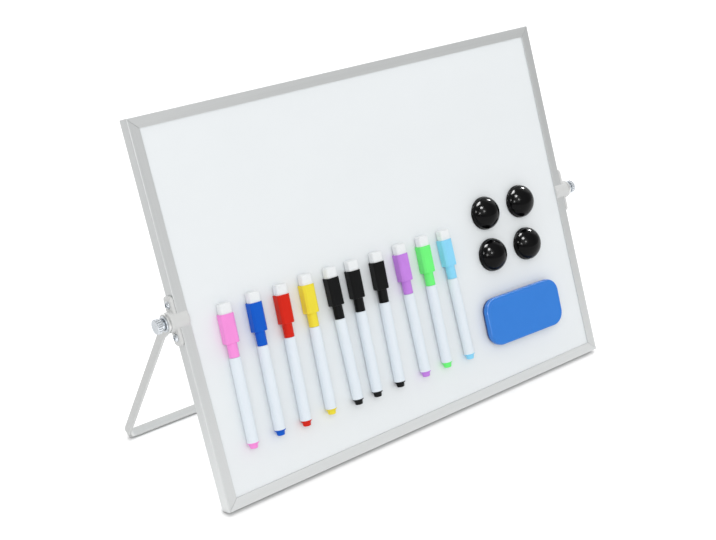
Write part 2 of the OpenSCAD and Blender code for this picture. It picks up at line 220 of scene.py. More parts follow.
class Graph:
    """A node tree in the making: a material's, the sky's, or one that shapes a piece."""

    def __init__(self, tree):
        self.tree = tree

    def feed(self, node, values):
        """Sets a node's sockets to values, or links wires to them."""
        for key, value in values.items():
            if isinstance(value, Wire):
                self.tree.links.new(value.socket, node.inputs[key])
            else:
                node.inputs[key].default_value = value

    def node(self, kind, values=None, output=0, **settings):
        """Adds a node: its settings, then its sockets. Gives the wire that leaves it."""
        node = self.tree.nodes.new(kind)
        for key, value in settings.items():
            setattr(node, key, value)
        self.feed(node, values or {})
        return Wire(self, node.outputs[output]) if node.outputs else None

    def ramp(self, value, start, end, first=0.0, last=1.0, curve="LINEAR"):
        """Runs from first to last while a value runs from start to end, and stays there."""
        return self.node("ShaderNodeMapRange", {
            "Value": value, "From Min": start, "From Max": end, "To Min": first, "To Max": last,
        }, interpolation_type=curve)


class Finish(Graph):
    """A material in the making: its Principled shader and the nodes that feed it."""

    def __init__(self, name, **sockets):
        self.material = bpy.data.materials.new(name)
        self.material.use_nodes = True
        super().__init__(self.material.node_tree)
        self.shader = self.tree.nodes["Principled BSDF"]
        self.set(**sockets)

    def set(self, **sockets):
        """Feeds the shader's sockets, with _ for a space in a name. Gives the material."""
        self.feed(self.shader, {key.replace("_", " "): value for key, value in sockets.items()})
        return self.material

    def place(self, cell, origin=Matrix(), vector=None):
        """Object or other coordinates from a placing, counted in cells of one size or three."""
        return self.node("ShaderNodeMapping", {
            "Vector": vector or self.node("ShaderNodeTexCoord", output="Object"),
            "Location": origin.to_translation(),
            "Rotation": origin.to_euler(),
            "Scale": (cell,) * 3 if isinstance(cell, float) else cell,
        }, vector_type="TEXTURE")

    def noise(self, cell, detail=2, roughness=0.5, **where):
        """Soft noise about 0.5, one cell to a blotch."""
        return self.node("ShaderNodeTexNoise", {
            "Vector": self.place(cell, **where), "Scale": 1, "Detail": detail,
            "Roughness": roughness,
        })

    def mixed(self, share, first, second):
        """Colour between two colours."""
        values = {0: share, 6: first, 7: second}
        return self.node("ShaderNodeMix", values, 2, data_type="RGBA", clamp_factor=True)

    def bump(self, height, depth):
        """Normal of a surface that rises with height, by a depth in metres."""
        return self.node("ShaderNodeBump", {"Height": height, "Distance": depth})


def shade(*levels):
    """Linear colour of a red, green and blue given as they look on a screen, 0 to 255."""
    shares = (level / 255 for level in levels)
    return tuple(v / 12.92 if v <= 0.04045 else ((v + 0.055) / 1.055) ** 2.4 for v in shares) + (1,)


def settled(piece):
    """Turns what a piece's modifiers and nodes make of it into its plain mesh."""
    graph = bpy.context.evaluated_depsgraph_get()
    mesh = bpy.data.meshes.new_from_object(piece.evaluated_get(graph))
    piece.modifiers.clear()
    piece.data = mesh
    return piece


def coated(piece, material):
    """Gives a piece one material all over."""
    piece.data.materials.clear()
    piece.data.materials.append(material)


def fitted(piece, body, slot, material, *nodes):
    """Dresses a finished piece, lets it ride on its body and stand for its CAD nodes.

    Its flats keep their own normals up to the edge, so that only the rounding catches the light.
    """
    even = piece.modifiers.new("even", "WEIGHTED_NORMAL")
    even.keep_sharp = True
    settled(piece)
    coated(piece, material)
    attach(piece, body)
    if nodes:
        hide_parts(*nodes)
    return piece


def toned(tint, share, lift=0.0):
    """A tint made lighter or darker by a share of itself."""
    return tuple(min(1.0, c * share + lift) for c in tint[:3]) + (1,)


def drawn_aluminium(name, tint, axis):
    """Satin anodised aluminium. Fine draw lines run along one axis of the board."""
    grain, bands = [0.0004] * 3, [0.0018] * 3
    grain[axis], bands[axis] = 0.06, 0.25
    finish = Finish(name, Metallic=1.0)
    lines = finish.noise(grain, 3, 0.6, origin=board)
    streaks = finish.noise(bands, origin=board)
    etch = finish.noise(0.00025)
    tone = lines * 0.55 + streaks * 0.45
    return finish.set(
        Base_Color=finish.mixed(tone, toned(tint, 0.93), toned(tint, 1.07)),
        Roughness=0.27 + 0.16 * tone + 0.05 * etch,
        Normal=finish.bump(lines * 0.7 + etch * 0.3, 0.000012),
    )


rail_edge, lip_edge, mitre_edge = mm(0.9, 0.25, 0.12)
rail_wall, chamber_w, web = mm(1.2, 3.4, 1.0)
seam = 0.04 * MM

rail_low, rail_high = span("bottom_rail", board)
half_w, half_h = rail_high.x, span("top_rail", board)[1].z
rail_w, face_y, rear_y = rail_high.z - rail_low.z, rail_low.y, rail_high.y
panel_front, panel_rear = span("front_sheet", board)[0].y, span("rear_sheet", board)[1].y
groove = rail_wall + chamber_w + web

# The section's first measure runs in from the rail's outer side, the second into the board
section = rounded(
    [
        (0, face_y), (rail_w, face_y), (rail_w, panel_front), (groove, panel_front),
        (groove, panel_rear), (rail_w, panel_rear), (rail_w, rear_y), (0, rear_y),
    ],
    [rail_edge, lip_edge, lip_edge, 0, 0, lip_edge, lip_edge, rail_edge],
)
chamber_far = rail_wall + chamber_w
chamber = [Vector(corner) for corner in (
    (rail_wall, panel_front), (chamber_far, panel_front),
    (chamber_far, panel_rear), (rail_wall, panel_rear),
)]


def rail(half_long, half_across):
    """A rail lying along X with its outer side down, cut to a mitre at both ends."""
    shell = Shell()

    def cut(outline, end, back):
        """An outline laid on the mitre at one end, or a little back from it."""
        return shell.ring(
            (end * (half_long - u - seam - back), y, u - half_across) for u, y in outline
        )

    tight = drawn_in(section, mitre_edge)
    outer = [cut(tight, -1, 0), cut(section, -1, mitre_edge)]
    outer += [cut(section, 1, mitre_edge), cut(tight, 1, 0)]
    inner = [cut(chamber, -1, 0), cut(chamber, 1, 0)]
    shell.wall(*outer)
    shell.wall(*inner)
    shell.lid(outer[0], inner[0])
    shell.lid(outer[-1], inner[-1])
    return shell


# Each rail's draw lines run along it, and the upright rails' darker tint is painted shade
grain_and_shade = (
    drawn_aluminium("anodised_level", shade(217, 219, 219), 0),
    drawn_aluminium("anodised_upright", shade(211, 213, 213), 2),
)
for quarters, name in enumerate(("bottom_rail", "left_rail", "top_rail", "right_rail")):
    upright = quarters % 2
    halves = (half_h, half_w) if upright else (half_w, half_h)
    place = board @ Matrix.Rotation(math.radians(90 * quarters), 4, "Y")
    piece = rail(*halves).made(name + "_section", place)
    fitted(piece, "board", "frame_aluminium", grain_and_shade[upright], name)

# Corner keys
# L-shaped keys of dark moulded plastic, pushed into the rails' chambers to hold the mitres.
# They are shut away inside the frame, so the CAD pieces stay.
finish = Finish("key_plastic", Roughness=0.6)
key_plastic = finish.set(
    Base_Color=finish.mixed(finish.noise(0.004, 3), shade(52, 52, 54), shade(70, 70, 72)),
    Normal=finish.bump(finish.noise(0.0004), 0.00003),
)
coated(frame["nodes"]["corner_keys"], key_plastic)

# Panel
# Two sheets of white enamelled steel on a light fibre core. The enamel is fired and glossy, with
# a very slight orange peel, and one sheet faces each way.
finish = Finish("enamel")
haze = finish.noise((0.09, 0.09, 0.05), 3, 0.6, origin=board)
enamel = finish.set(
    Base_Color=finish.mixed(haze, shade(234, 238, 240), shade(238, 242, 244)),
    Roughness=0.2 + 0.1 * haze,
    Normal=finish.bump(finish.noise(0.0045, origin=board), 0.000012),
)
finish = Finish("core_fibre", Roughness=0.9)
strands = finish.noise((0.006, 0.0006, 0.0006), 4, 0.7, origin=board)
fibre = finish.set(
    Base_Color=finish.mixed(strands, shade(176, 140, 96), shade(214, 184, 140)),
    Normal=finish.bump(strands, 0.0002),
)
for node, material in (("front_sheet", enamel), ("rear_sheet", enamel), ("core_board", fibre)):
    coated(frame["nodes"][node], material)

# Pivot brackets
# White moulded plastic. A barrel wraps over both faces of the side rail, a plate lies along the
# rail's side and is screwed to it, and a brass insert in the barrel's end takes the thumb screw.
barrel_edge, plate_t, plate_edge, plate_corner = mm(1.5, 2.5, 0.6, 3.4)
insert_d, insert_l, insert_bore = mm(7.5, 5, 5.1)
screw_pitch, screw_hole = mm(24.8, 3.3)
HALF_TURN = math.pi


def oblong(half_x, half_y):
    """The corners of a rectangle about the origin, anticlockwise."""
    return [(-half_x, -half_y), (half_x, -half_y), (half_x, half_y), (-half_x, half_y)]


def circle(radius, count=48):
    """An anticlockwise circle of points."""
    angles = (2 * HALF_TURN * i / count for i in range(count))
    return [Vector((radius * math.cos(a), radius * math.sin(a))) for a in angles]


def quarter(edge, steps=3):
    """A quarter round as pairs of inset and rise, from the flat face to the side."""
    angles = (HALF_TURN / 2 * k / steps for k in range(steps + 1))
    return [(edge * (1 - math.sin(a)), edge * (1 - math.cos(a))) for a in angles]


def flank(low, high, low_edge, high_edge=None, steps=3):
    """Depth and height of each level of a side that is rounded at both of its edges."""
    lower, upper = (quarter(edge, steps) for edge in (low_edge, high_edge or low_edge))
    levels = [(depth, low + rise) for depth, rise in lower]
    return levels + [(depth, high - rise) for depth, rise in reversed(upper)]


def slab(outline, low, high, edge, *holes):
    """An outline raised from low to high, with rounded edges, and round its through holes too."""
    shell = Shell()
    levels = flank(low, high, edge)
    stacks = [shell.sides(outline, levels)]
    stacks += [shell.sides(hole, [(-depth, z) for depth, z in levels]) for hole in holes]
    for end in (0, -1):
        shell.lid(*(rings[end] for rings in stacks))
    return shell


def worked(piece, tool, operation):
    """Joins a tool piece to a piece, or cuts it out, and drops the tool."""
    change = piece.modifiers.new("work", "BOOLEAN")
    change.operation, change.object, change.solver = operation, tool, "EXACT"
    settled(piece)
    bpy.data.objects.remove(tool)
    smoothed(piece.data)
    return piece


bracket_low, bracket_high = span("right_bracket", board)
barrel_r, barrel_in, barrel_out = bracket_high.y, bracket_low.x, bracket_high.x
plate_half = bracket_high.z
half_t = rear_y


def round_arc(radius, start, end, steps):
    """Points of an arc about the barrel's axis, seen along X. Angles start at the front face."""
    angles = (start + (end - start) * k / steps for k in range(steps + 1))
    return [(-radius * math.cos(a), radius * math.sin(a)) for a in angles]


def bracket():
    """The right-hand bracket about the pivot: its barrel with two cheeks, and its plate."""
    shell = Shell()
    flank, side_steps, cheek_steps = math.acos(half_t / barrel_r), 14, 12

    def full_ring(radius, x):
        """A ring whose corners fall on the rail's front and rear faces."""
        arcs = (
            round_arc(radius, -flank, flank, cheek_steps),
            round_arc(radius, flank, HALF_TURN - flank, side_steps),
            round_arc(radius, HALF_TURN - flank, HALF_TURN + flank, cheek_steps),
            round_arc(radius, HALF_TURN + flank, 2 * HALF_TURN - flank, side_steps),
        )
        return shell.ring((x, y, z) for arc in arcs for y, z in arc[:-1])

    rims = quarter(barrel_edge, 5)[::-1]
    seat = full_ring(barrel_r, half_w)
    outer = [full_ring(barrel_r - drop, barrel_out - back) for drop, back in rims]
    shell.wall(seat, *outer)

    # Blind pocket for the insert in the outer end
    depths = (barrel_out, barrel_out - insert_l)
    mouth, floor = (shell.ring((x, *p) for p in circle(insert_d / 2)) for x in depths)
    shell.lid(outer[-1], mouth)
    shell.wall(mouth, floor)
    shell.lid(floor)

    # The slot's floor lies on the rail's side, between the two cheeks
    front = seat[:cheek_steps + 1]
    upper = seat[cheek_steps:cheek_steps + side_steps + 1]
    rear = seat[cheek_steps + side_steps:2 * cheek_steps + side_steps + 1]
    lower = seat[2 * cheek_steps + side_steps:] + seat[:1]
    shell.lid(upper + lower)
    for cheek, middle in ((front, 0), (rear, HALF_TURN)):
        rings = [cheek]
        for drop, back in rims:
            radius = barrel_r - drop
            half = math.acos(half_t / radius)
            arc = round_arc(radius, middle - half, middle + half, cheek_steps)
            rings.append(shell.ring((barrel_in + back, y, z) for y, z in arc))
        shell.wall(*rings)
        shell.lid(rings[-1])

    # The plate is drawn flat, with its first measure across the rail and its second along it
    holes = [
        [p + Vector((0, side * screw_pitch / 2)) for p in circle(screw_hole / 2, 24)]
        for side in (-1, 1)
    ]
    outline = rounded(oblong(half_t, plate_half), plate_corner, 6)
    plate = slab(outline, 0.02 * MM, plate_t, plate_edge, *holes)
    beside = Matrix.Translation((half_w, 0, 0)) @ to_right
    return worked(shell.made("bracket"), plate.made("plate", beside), "UNION")


def level(shell, radius, z, count=48):
    """A ring of a shell round Z at a height, or its tip where the radius is nothing."""
    return shell.ring((*p, z) for p in (circle(radius, count) if radius else [(0, 0)]))


def stacked(outlines):
    """A solid from outlines one above another, each a list of points with their heights."""
    shell = Shell()
    rings = [shell.ring(outline) for outline in outlines]
    shell.wall(*rings)
    shell.lid(rings[0])
    shell.lid(rings[-1])
    return shell


def turned(profile, count=48):
    """A solid turned about Z from a profile of radius and height. A closed profile is a tube."""
    shell = Shell()
    rings = [level(shell, radius, z, count) for radius, z in profile]
    shell.wall(*rings)
    if profile[0] != profile[-1]:
        for end in (rings[0], rings[-1]):
            if len(end) > 1:
                shell.lid(end)
    return shell


def pin(radius, low, high, edge, steps=3):
    """Profile of a round bar with rounded ends."""
    return rounded([(0, low), (radius, low), (radius, high), (0, high)], edge, steps, closed=False)


def hoop(outer, inner, low, high, edge):
    """Closed profile of a ring or tube with rounded edges."""
    profile = rounded([(inner, low), (outer, low), (outer, high), (inner, high)], edge, 3)
    return profile + profile[:1]


finish = Finish("bracket_plastic")
spark = finish.noise(0.0005, 3, 0.6)
white_plastic = finish.set(
    Base_Color=finish.mixed(finish.noise(0.008), shade(208, 209, 208), shade(215, 216, 215)),
    Roughness=0.3 + 0.14 * spark,
    Normal=finish.bump(spark, 0.00003),
)
finish = Finish("insert_brass", Metallic=1.0)
knurls = finish.noise(0.0007)
brass = finish.set(
    Base_Color=finish.mixed(knurls, shade(196, 160, 84), shade(220, 188, 112)),
    Roughness=0.28 + 0.15 * knurls,
)

# Z of a turned piece runs out from the board along the pivot
to_right = placing((0, 0, 0), (0, 1, 0), (0, 0, 1), (1, 0, 0))
insert_low, insert_high = barrel_out - insert_l + 0.03 * MM, barrel_out - 0.1 * MM
insert_profile = hoop(
    insert_d / 2 - 0.03 * MM, insert_bore / 2, insert_low, insert_high, 0.25 * MM
)
sides = {"right": board, "left": board @ Matrix.Rotation(HALF_TURN, 4, "Z")}
for side, place in sides.items():
    moulding = bracket()
    moulding.name = side + "_bracket_moulding"
    moulding.data.transform(place)
    fitted(moulding, "board", "bracket_plastic", white_plastic, side + "_bracket")
    insert = turned(insert_profile).made(side + "_thread_insert", place @ to_right)
    fitted(insert, "board", "bracket_plastic", brass)

# Bracket screws
# Four pan-head screws of bright zinc-plated steel, with a cross recess each, hold the brackets'
# plates to the side rails. They are driven home by hand, so their slots stand at any angle.
head_d, head_t, screw_d, screw_l, screw_point = mm(6, 1.9, 2.9, 6.2, 1.2)
slot_w, slot_l, slot_t = mm(1.0, 3.6, 1.2)


def zinc_plate(name, tint, painted_shade=None):
    """Bright zinc on steel, with faint turning marks round the pivot's line.

    The last argument gives the depth of painted shade at a place, out from the board's middle and
    off that line.
    """
    finish = Finish(name, Metallic=1.0)
    axis = Matrix.Translation(pivot)
    rings = finish.node(
        "ShaderNodeTexWave",
        {"Vector": finish.place(0.0012, axis), "Scale": 1, "Distortion": 0.6},
        "Fac", wave_type="RINGS", rings_direction="X",
    )
    mottle = finish.noise(0.0022, 3, 0.6)
    colour = finish.mixed(mottle, toned(tint, 0.82), tint)
    if painted_shade:
        # The line runs along X, so a vast cell there leaves the distance off it
        out = abs(finish.place(MM, axis).axis("X"))
        aside = finish.place((1e6, MM, MM), axis)
        off = finish.node("ShaderNodeVectorMath", {0: aside}, "Value", operation="LENGTH")
        # Painted shade: where the mask is 1 the zinc darkens to 12 percent of its tint
        colour = finish.mixed(painted_shade(finish, out, off), colour, toned(tint, 0.12))
    return finish.set(
        Base_Color=colour,
        Roughness=0.14 + 0.14 * mottle,
        Normal=finish.bump(rings, 0.000008),
    )


zinc_tint = shade(222, 227, 232)
zinc = zinc_plate("bright_zinc", zinc_tint)
head = [(0, head_t), (head_d * 0.3, head_t), (head_d / 2, head_t * 0.42), (head_d / 2, 0)]
shank = [(screw_d / 2, 0), (screw_d / 2, screw_point - screw_l), (0, -screw_l)]
profile = rounded(
    head + shank, mm(0, 1.6, 0.5, 0.15, 0, 0.3, 0), closed=False
)
screw = turned(profile, 40).made("bracket_screw")
for turn in (0, 90):
    slot = rounded(oblong(slot_l / 2, slot_w / 2), 0.2 * MM, 2)
    recess = slab(slot, head_t - slot_t, head_t + 1 * MM, 0.15 * MM)
    place = Matrix.Rotation(math.radians(turn), 4, "Z")
    worked(screw, recess.made("recess", place), "DIFFERENCE")
screw.data.transform(to_right)


def node_tree(name, sockets):
    """A Geometry Nodes tree with a mesh and named inputs: its graph, and a wire from each."""
    tree = bpy.data.node_groups.new(name, "GeometryNodeTree")
    tree.interface.new_socket("Mesh", in_out="OUTPUT", socket_type="NodeSocketGeometry")
    sockets = {"Mesh": "Geometry", **sockets}
    for label, kind in sockets.items():
        tree.interface.new_socket(label, in_out="INPUT", socket_type="NodeSocket" + kind)
    graph = Graph(tree)
    outlets = tree.nodes.new("NodeGroupInput").outputs
    return graph, {label: Wire(graph, outlets[label]) for label in sockets}


def grown(piece, tree, values):
    """Runs a tree on a piece, with values for its named inputs, and keeps the plain mesh."""
    modifier = piece.modifiers.new(tree.name, "NODES")
    modifier.node_group = tree
    for item in tree.interface.items_tree:
        if item.in_out == "INPUT" and item.name in values:
            modifier[item.identifier] = values[item.name]
    return settled(piece)


rows, given = node_tree(
    "screw_rows", {"Pitch": "Float", "Reach": "Float", "Seed": "Int", "Finish": "Material"}
)
low_spot, high_spot = (
    rows.node("ShaderNodeCombineXYZ", {"X": given["Reach"], "Z": given["Pitch"] * half})
    for half in (-0.5, 0.5)
)
# Two screws beyond the right rail, and two more half a turn round the board
line = {"Count": 2, "Start Location": low_spot, "Offset": high_spot}
pair = rows.node("GeometryNodeMeshLine", line, mode="END_POINTS")
other_pair = rows.node("GeometryNodeTransform", {"Geometry": pair, "Rotation": (0, 0, HALF_TURN)})
spots = rows.node("GeometryNodeJoinGeometry", {"Geometry": pair})
rows.feed(spots.socket.node, {"Geometry": other_pair})
# Each is driven home at an angle of its own, and the left ones face left
driven = rows.node(
    "FunctionNodeRandomValue", {"Seed": given["Seed"], 3: HALF_TURN / 2}, 1, data_type="FLOAT"
)
on_left = rows.node("GeometryNodeInputPosition").axis("X") < 0.0
angle = rows.node("ShaderNodeCombineXYZ", {"X": driven, "Z": on_left * HALF_TURN})
screws = rows.node("GeometryNodeInstanceOnPoints", {
    "Points": spots, "Instance": given["Mesh"], "Rotation": angle,
})
real = rows.node("GeometryNodeRealizeInstances", {"Geometry": screws})
plated = rows.node("GeometryNodeSetMaterial", {"Geometry": real, "Material": given["Finish"]})
rows.node("NodeGroupOutput", {"Mesh": plated})

sizes = {"Pitch": screw_pitch, "Reach": half_w + plate_t, "Seed": 3, "Finish": zinc}
grown(screw, rows.tree, sizes)
screw.name = "bracket_screw_set"
screw.data.transform(board)
fitted(screw, "board", "zinc", zinc, "bracket_screws")

# Stand
# One length of flat aluminium strip with an eye stamped at each end, bent twice into a U. Its
# edges are tumbled round, and its draw lines follow it round the bends.
strip_w, strip_t, bend_r = mm(8, 2, 8)
eye_d, eye_hole, eye_taper, eye_lead, strip_edge = mm(15, 5.1, 13, 5, 0.55)

# The two lowest corners of the strip's section lie furthest from the pivot, and the middle
# between them gives the way down the arms
bar_points = [vertex.co for vertex in frame["nodes"]["stand_bar"].data.vertices]
far = max((p - pivot).yz.length for p in bar_points)
corners = [(p - pivot).yz for p in bar_points if (p - pivot).yz.length > far - 1e-5]
ends = {round(corner.x, 5): corner for corner in corners}
foot = (ends[min(ends)] + ends[max(ends)]) / 2
arm_up = -Vector((0, foot.x, foot.y)).normalized()
arm_l = foot.length
stand = placing(pivot, across, arm_up.cross(across), arm_up)
arm_out = span("stand_bar", stand)[1].x

bend_x = arm_out - bend_r
mid_r = bend_r - strip_t / 2
arc_l = mid_r * HALF_TURN / 2
eye_at = bend_x + arc_l + arm_l - bend_r
eye_cut = eye_at - eye_taper - eye_lead

# Flat outline of the strip: the first measure runs along it from the middle of the crossbar
eye_r = eye_d / 2
taper_start = Vector((-eye_taper, strip_w / 2))
eye_steps = 40
taper_angle = math.atan2(taper_start.y, -taper_start.x) + math.acos(eye_r / taper_start.length)
half_arc = HALF_TURN - taper_angle
eye_arc = [
    Vector((eye_r * math.cos(a), eye_r * math.sin(a)))
    for a in (half_arc - 2 * half_arc * k / eye_steps for k in range(eye_steps + 1))
]
eye_outline = [taper_start] + eye_arc + [Vector((taper_start.x, -taper_start.y))]
bend_steps = 14
cuts = [-eye_cut, -(bend_x + arc_l)]
cuts += [-(bend_x + arc_l * k / bend_steps) for k in range(bend_steps - 1, -1, -1)]
cuts += [0.0] + [-cut for cut in reversed(cuts)]
lower_edge = [Vector((cut, -strip_w / 2)) for cut in cuts]
upper_edge = [Vector((-cut, strip_w / 2)) for cut in cuts]
right_eye = [Vector((eye_at + p.x, p.y)) for p in reversed(eye_outline)]
left_eye = [Vector((-p.x, -p.y)) for p in right_eye]
flat_outline = lower_edge + right_eye + upper_edge + left_eye


def strip():
    """The stand as it leaves the press: flat, its thickness along Z."""
    shell = Shell()
    count = len(cuts)
    levels = flank(-strip_t / 2, strip_t / 2, strip_edge)
    rings = shell.sides(flat_outline, levels)
    holes = []
    for middle in (eye_at, -eye_at):
        stack = [
            shell.ring((middle + p.x, p.y, z) for p in circle(eye_hole / 2 + depth, 32))
            for depth, z in levels
        ]
        shell.wall(*stack)
        holes.append(stack)
    turn_back = count + len(right_eye)
    for end in (0, -1):
        ring = rings[end]
        low, right = ring[:count], ring[count - 1:turn_back + 1]
        high, left = ring[turn_back:turn_back + count], ring[turn_back + count - 1:] + ring[:1]
        for i in range(count - 1):
            shell.mesh.faces.new((low[i], low[i + 1], high[-2 - i], high[-1 - i]))
        shell.lid(right, holes[0][end])
        shell.lid(left, holes[1][end])
    return shell


def bent(point):
    """Where a point of the flat strip comes to lie once it is bent into a U."""
    side = 1 if point.x >= 0 else -1
    out = -point.z
    past = abs(point.x) - bend_x
    if past <= 0:
        return Vector((point.x, point.y, -arm_l + strip_t / 2 - out))
    if past < arc_l:
        angle, radius = past / mid_r, mid_r + out
        reach, drop = radius * math.sin(angle), radius * math.cos(angle)
        return Vector((side * (bend_x + reach), point.y, bend_r - arm_l - drop))
    return Vector((side * (arm_out - strip_t / 2 + out), point.y, bend_r - arm_l + past - arc_l))


bar = strip().made("stand_strip")
flat_place = bar.data.attributes.new("flat_place", "FLOAT_VECTOR", "POINT")
for vertex, spot in zip(bar.data.vertices, flat_place.data):
    spot.vector = vertex.co
for vertex in bar.data.vertices:
    vertex.co = stand @ bent(vertex.co)
bar.data.update()

finish = Finish("rolled_strip", Metallic=1.0)
flat = finish.node("ShaderNodeAttribute", {}, "Vector", attribute_name="flat_place")
lines = finish.noise((0.05, 0.00035, 0.0004), 3, 0.6, vector=flat)
tumbled = finish.noise(0.0016, 3, 0.6)
tone = lines * 0.5 + tumbled * 0.5
rolled = finish.set(
    Base_Color=finish.mixed(tone, shade(198, 199, 198), shade(218, 219, 218)),
    Roughness=0.28 + 0.16 * tone,
    Normal=finish.bump(lines * 0.6 + tumbled * 0.4, 0.00002),
)
fitted(bar, "stand", "stand_strip", rolled, "stand_bar")

# Washers and thumb screws
# A plain washer lies on each eye. The thumb screw is turned from one bar: shank, collar and a
# knurled disc, plated in bright zinc. Tightened by hand, the pair clamps the board's angle.
washer_low, washer_high = span("pivot_washers", board)
washer_d, washer_hole, washer_t = washer_high.y - washer_low.y, 5.2 * MM, 1.0 * MM


def band(finish, value, low, high, soft):
    """1 where a value lies between two limits, with soft ends."""
    return finish.ramp(value, low - soft, low) * finish.ramp(value, high, high + soft, 1.0, 0.0)


# Painted shade: a grey ring on the washer round the collar's foot, in millimetres off the axis
shade_ring_in, shade_ring_out, shade_ring_soft = 4.0, 4.7, 0.4
washer_zinc = zinc_plate("washer_zinc", zinc_tint, lambda finish, out, off: (
    0.75 * band(finish, off, shade_ring_in, shade_ring_out, shade_ring_soft)
))
for side, place in sides.items():
    outer, inner = washer_d / 2, washer_hole / 2
    shape = hoop(outer, inner, washer_high.x - washer_t, washer_high.x, 0.22 * MM)
    washer = turned(shape, 64).made(side + "_washer", place @ to_right)
    fitted(washer, "stand", "zinc", washer_zinc, "pivot_washers")

knob_low, knob_high = span("right_thumb_screw", board)
knob_r, disc_end = knob_high.y, knob_high.x
knob_t, collar_d, collar_l, shank_d = mm(3.8, 8.4, 3, 5)
knurl_count, knurl_depth, knurl_steps, knob_edge = 20, 0.42 * MM, 12, 0.6 * MM
disc_start = disc_end - knob_t
collar_start = disc_start - collar_l


def knurled(radius, limit):
    """Outline of the disc: flats and round grooves, cut off where the edge bevel is lower."""
    outline = []
    count, widened = knurl_count * knurl_steps, 0.15
    for i in range(count):
        angle = 2 * HALF_TURN * i / count
        dip = max(0.0, math.cos(knurl_count * angle) + widened) / (1 + widened)
        reach = min(radius - knurl_depth * dip, limit)
        outline.append(Vector((reach * math.cos(angle), reach * math.sin(angle))))
    return outline


def thumb_screw():
    """The right-hand screw about its axis, its head end up."""
    shell = Shell()
    count = knurl_count * knurl_steps

    def toothed(drop, z):
        """A ring of the knurled disc, cut off a little below its full radius."""
        return shell.ring((*p, z) for p in knurled(knob_r, knob_r - drop))

    shank_r, collar_r, chamfer = shank_d / 2, collar_d / 2, 0.4 * MM
    relief_r, relief_end = collar_r - 0.8 * MM, collar_start + 0.45 * MM
    tail = [(0, knob_low.x), (shank_r - chamfer, knob_low.x), (shank_r, knob_low.x + chamfer)]
    neck = rounded(
        [
            (shank_r, collar_start), (relief_r, collar_start), (relief_r, relief_end),
            (collar_r, relief_end), (collar_r, disc_start), (knob_r - knob_edge, disc_start),
        ],
        mm(0, 0.1, 0.1, 0.3, 0.35, 0), 3, closed=False,
    )
    dish = [(0.55, 0), (0.5, 0.08 * MM), (0.3, 0.35 * MM), (0, 0.4 * MM)]
    bevel = [(knob_edge * b, knob_edge * (1 - b) ** 1.5) for b in (0.0, 0.15, 0.38, 0.7, 1.0)]
    low_share = 0.7
    teeth = [toothed(drop, disc_start + low_share * rise) for rise, drop in bevel]
    teeth += [toothed(drop, disc_end - rise) for rise, drop in reversed(bevel)]
    shell.wall(
        *(level(shell, radius, z, count) for radius, z in tail + [tuple(p) for p in neck]),
        *teeth,
        *(level(shell, knob_r * share, disc_end - drop, count) for share, drop in dish),
    )
    return shell


# Painted shade in the valleys of the knurling: along the disc, and inside the tips of its teeth
knob_zinc = zinc_plate("knob_zinc", zinc_tint, lambda finish, out, off: (
    0.4 * band(finish, out, disc_start / MM + 0.25, disc_end / MM - 0.55, 0.1)
    * band(finish, off, 0.0, knob_r / MM - 0.34, 0.22)
))
for side, place in sides.items():
    name = side + "_thumb_screw"
    piece = thumb_screw().made(side + "_knurled_screw", place @ to_right, crease=28)
    fitted(piece, name, "zinc", knob_zinc, name)

# Markers
# Slim dry-wipe markers: a white barrel with a coloured plug, a coloured cap whose square block
# holds a small magnet in its back and an eraser felt on top, and inside a fibre reservoir whose
# writing tip stands out of the neck.
barrel_d, neck_d, neck_l, nib_d, nib_out = mm(8.8, 6.4, 10, 2.4, 7)
barrel_bore, plug_l, plug_rim, plug_tip_d, spigot_l = mm(7, 4.6, 0.9, 6, 6)
cap_collar_d, cap_collar_l, cap_bore = mm(8, 11, 6.56)
block_w, block_d, block_l, block_bevel = mm(11, 8.8, 22.5, 1.6)
felt_wall, felt_seat, felt_l, pip_d, pip_t = mm(0.8, 1.5, 8.2, 6, 1.6)
gap = 0.1 * MM

names = [joint[:-len("_cap_pull")] for joint in joints if joint.endswith("_cap_pull")]


def standing(node, *axes):
    """Placing along three axes from the middle of a node's low end."""
    turn = placing(Vector(), *axes)
    low, high = span(node, turn)
    middle = (low + high) / 2
    return placing(turn @ Vector((middle.x, middle.y, low.z)), *axes)


def marker_place(name):
    """Placing of a marker: Z up its axis from the barrel's lower end, Y into the board."""
    up = Vector(joints[name + "_cap_pull"]["axis"])
    return standing(name + "_barrel", -outward.cross(up), -outward, up)


barrel_l = span(names[0] + "_barrel", marker_place(names[0]))[1].z - neck_l - nib_out
neck_top = barrel_l + neck_l
block_z = barrel_l + cap_collar_l
back_y = barrel_d / 2

# The neck has a fine ridge that the cap snaps over, and narrows to the nib's mouth
barrel_r, bore_r, neck_r, mouth_r, nib_bore_r = (
    barrel_d / 2, barrel_bore / 2, neck_d / 2, 2.1 * MM, 1.35 * MM
)
ridge_z, ridge_h, neck_floor = barrel_l + 3.3 * MM, 0.05 * MM, barrel_l - 2 * MM
barrel_outline = rounded(
    [
        (bore_r, 0), (barrel_r, 0), (barrel_r, barrel_l), (neck_r, barrel_l),
        (neck_r, ridge_z - 0.3 * MM), (neck_r + ridge_h, ridge_z), (neck_r, ridge_z + 0.4 * MM),
        (neck_r, neck_top - 3 * MM), (mouth_r, neck_top), (nib_bore_r, neck_top),
        (nib_bore_r, neck_floor), (bore_r, neck_floor),
    ],
    mm(0, 0.2, 0.45, 0.15, 0, 0, 0, 0.6, 0.3, 0.2, 0, 0),
)
nib_start, nib_tip, nib_r = barrel_l - 3 * MM, neck_top + nib_out, nib_d / 2
store_r, store_low = 3.3 * MM, spigot_l + 1 * MM
nib_outline = rounded(
    [
        (0, store_low), (store_r, store_low), (store_r, nib_start), (nib_r, nib_start + 0.5 * MM),
        (nib_r, nib_tip - 2 * MM), (0.5 * MM, nib_tip), (0, nib_tip),
    ],
    mm(0, 0.3, 0.3, 0, 0.8, 0.4, 0), closed=False,
)
spigot_r, plug_waist_r = bore_r - 0.05 * MM, 3.55 * MM
